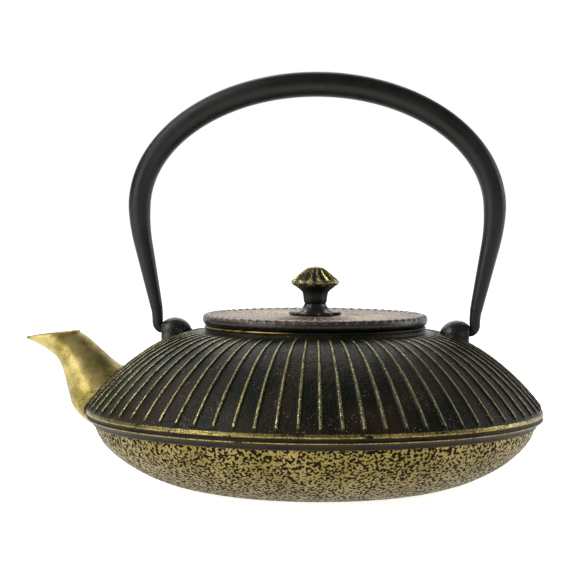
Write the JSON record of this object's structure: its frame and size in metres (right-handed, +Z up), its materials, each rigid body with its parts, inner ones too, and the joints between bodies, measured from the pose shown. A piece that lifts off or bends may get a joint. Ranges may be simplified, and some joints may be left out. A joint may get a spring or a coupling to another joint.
{
  "type": "teapot",
  "caption": "Low round cast iron teapot with a ribbed shoulder, gilt spout and bowl, lift-off lid, lift-out infuser and a swinging bail handle.",
  "frame": {"origin": "middle of the flat base, on the surface that the pot stands on and on the axis of its round body", "axes": "+Z up; the spout points along -X; the bail swings about a line along X"},
  "size_m": [0.2298, 0.2008, 0.1818],
  "materials": {
    "vessel_iron": "black enamel brushed with gold on the ribs, with a gilt spout and bowl",
    "lid_iron": "black enamel brushed with gold",
    "gilt_iron": "gold brushed over black",
    "bail_iron": "satin black",
    "steel": "stainless, satin",
    "steel_mesh": "fine perforated stainless"
  },
  "bodies": {
    "vessel": {"vessel_body": "vessel_iron"},
    "infuser": {"infuser_rim": "steel", "infuser_wall": "steel_mesh", "infuser_base": "steel_mesh", "infuser_hoop": "steel"},
    "lid": {"lid": "lid_iron", "knob_seat": "lid_iron", "lid_knob": "gilt_iron", "knob_washer": "steel", "knob_screw": "steel"},
    "bail": {"handle_tube": "bail_iron", "handle_pin_left": "bail_iron", "handle_pin_right": "bail_iron"}
  },
  "joints": [
    {"name": "bail_swing", "type": "hinge", "parent": "vessel", "child": "bail", "pos_m": [0, 0, 0.06814], "axis": [1, 0, 0], "range_deg": [-105, 105]},
    {"name": "infuser_lift", "type": "slide", "parent": "vessel", "child": "infuser", "axis": [0, 0, 1], "range_m": [0, 0.052]},
    {"name": "lid_lift", "type": "slide", "parent": "infuser", "child": "lid", "axis": [0, 0, 1], "range_m": [0, 0.02]}
  ]
}
